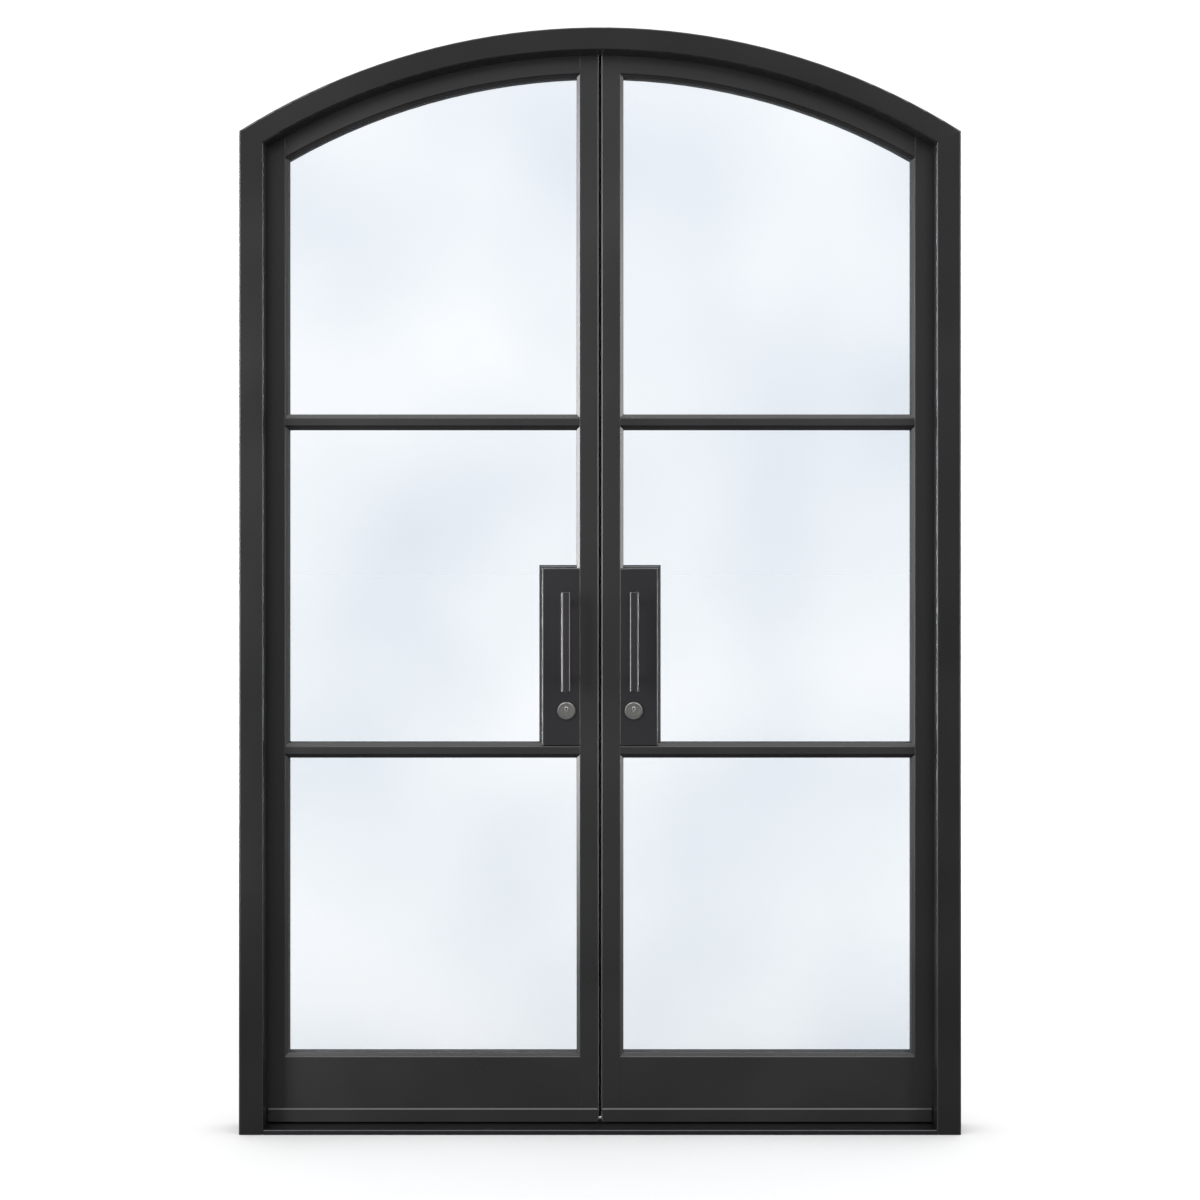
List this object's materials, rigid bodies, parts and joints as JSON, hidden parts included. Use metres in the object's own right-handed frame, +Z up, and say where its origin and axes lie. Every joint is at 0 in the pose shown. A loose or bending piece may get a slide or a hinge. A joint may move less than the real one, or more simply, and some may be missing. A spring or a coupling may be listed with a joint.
{
  "type": "french doors",
  "caption": "Arched pair of steel-framed glass french doors in their own frame, each leaf hinged, with pull handles, key locks, a deadbolt and shoot bolts.",
  "frame": {"origin": "middle of the threshold's underside, half way through the frame's depth", "axes": "+Z up, +X along the wall to the right seen from the street side, +Y from the street side to the room side, towards which both leaves open"},
  "size_m": [1.59, 0.159, 2.4378],
  "materials": {
    "powder_coated_steel": "satin black powder coat",
    "threshold_aluminium": "black anodised",
    "black_hardware": "satin black",
    "grey_lock_metal": "turned, dark grey",
    "bright_plug_metal": "bright nickel",
    "bolt_steel": "zinc plated",
    "hinge_brass": "plain",
    "black_rubber": "matt",
    "clear_glass": "clear"
  },
  "bodies": {
    "frame": {"jamb_left": "powder_coated_steel", "jamb_right": "powder_coated_steel", "head_arch": "powder_coated_steel", "threshold": "threshold_aluminium", "frame_seals": "black_rubber", "head_keeper": "bolt_steel", "floor_keeper": "bolt_steel", "frame_hinge_knuckles": "powder_coated_steel", "hinge_pins": "bolt_steel", "hinge_washers": "hinge_brass"},
    "left_leaf": {"left_hinge_stile": "powder_coated_steel", "left_meeting_stile": "powder_coated_steel", "left_top_rail": "powder_coated_steel", "left_bottom_rail": "powder_coated_steel", "left_glazing_bars": "powder_coated_steel", "left_lock_box": "powder_coated_steel", "left_front_beads": "powder_coated_steel", "left_back_beads": "powder_coated_steel", "left_glass_upper": "clear_glass", "left_glass_middle": "clear_glass", "left_glass_lower": "clear_glass", "left_glazing_seals": "black_rubber", "left_drip_bar": "powder_coated_steel", "left_sweep_seal": "black_rubber", "left_meeting_seal": "black_rubber", "left_hinge_knuckles": "powder_coated_steel", "left_pull_outside": "black_hardware", "left_pull_inside": "black_hardware", "left_key_cylinder": "grey_lock_metal", "left_turn_rose": "black_hardware", "left_lock_case": "bolt_steel"},
    "left_key_plug": {"left_key_plug": "bright_plug_metal"},
    "left_thumbturn": {"left_thumbturn": "black_hardware"},
    "top_shoot_bolt": {"top_shoot_bolt": "bolt_steel"},
    "bottom_shoot_bolt": {"bottom_shoot_bolt": "bolt_steel"},
    "right_leaf": {"right_hinge_stile": "powder_coated_steel", "right_meeting_stile": "powder_coated_steel", "right_top_rail": "powder_coated_steel", "right_bottom_rail": "powder_coated_steel", "right_glazing_bars": "powder_coated_steel", "right_lock_box": "powder_coated_steel", "right_front_beads": "powder_coated_steel", "right_back_beads": "powder_coated_steel", "right_glass_upper": "clear_glass", "right_glass_middle": "clear_glass", "right_glass_lower": "clear_glass", "right_glazing_seals": "black_rubber", "right_drip_bar": "powder_coated_steel", "right_sweep_seal": "black_rubber", "right_meeting_seal": "black_rubber", "right_hinge_knuckles": "powder_coated_steel", "right_pull_outside": "black_hardware", "right_pull_inside": "black_hardware", "right_key_cylinder": "grey_lock_metal", "right_turn_rose": "black_hardware", "right_lock_case": "bolt_steel"},
    "right_key_plug": {"right_key_plug": "bright_plug_metal"},
    "right_thumbturn": {"right_thumbturn": "black_hardware"},
    "deadbolt": {"deadbolt": "bolt_steel"}
  },
  "joints": [
    {"name": "left_leaf_swing", "type": "hinge", "parent": "frame", "child": "left_leaf", "pos_m": [-0.753, 0.0625, 1.1022], "axis": [0, 0, 1], "range_deg": [0, 100]},
    {"name": "right_leaf_swing", "type": "hinge", "parent": "frame", "child": "right_leaf", "pos_m": [0.753, 0.0625, 1.1022], "axis": [0, 0, -1], "range_deg": [0, 100]},
    {"name": "left_key_turn", "type": "hinge", "parent": "left_leaf", "child": "left_key_plug", "pos_m": [-0.075, 0.0075, 0.9324], "axis": [0, 1, 0], "range_deg": [-90, 90]},
    {"name": "right_key_turn", "type": "hinge", "parent": "right_leaf", "child": "right_key_plug", "pos_m": [0.075, 0.0075, 0.9324], "axis": [0, 1, 0], "range_deg": [-90, 90]},
    {"name": "left_thumb_turn", "type": "hinge", "parent": "left_leaf", "child": "left_thumbturn", "pos_m": [-0.075, 0.0525, 0.928], "axis": [0, 1, 0], "range_deg": [0, 90]},
    {"name": "right_thumb_turn", "type": "hinge", "parent": "right_leaf", "child": "right_thumbturn", "pos_m": [0.075, 0.0525, 0.928], "axis": [0, -1, 0], "range_deg": [0, 90]},
    {"name": "top_bolt_slide", "type": "slide", "parent": "left_leaf", "child": "top_shoot_bolt", "axis": [0, 0, 1], "range_m": [0, 0.02]},
    {"name": "bottom_bolt_slide", "type": "slide", "parent": "left_leaf", "child": "bottom_shoot_bolt", "axis": [0, 0, -1], "range_m": [0, 0.013]},
    {"name": "deadbolt_slide", "type": "slide", "parent": "right_leaf", "child": "deadbolt", "axis": [-1, 0, 0], "range_m": [0, 0.02]}
  ],
  "couplings": [
    {"joint": "left_thumb_turn", "follows": "top_bolt_slide", "rad_per_m": 78.54},
    {"joint": "bottom_bolt_slide", "follows": "top_bolt_slide", "ratio": 0.65},
    {"joint": "right_thumb_turn", "follows": "deadbolt_slide", "rad_per_m": 78.54}
  ]
}
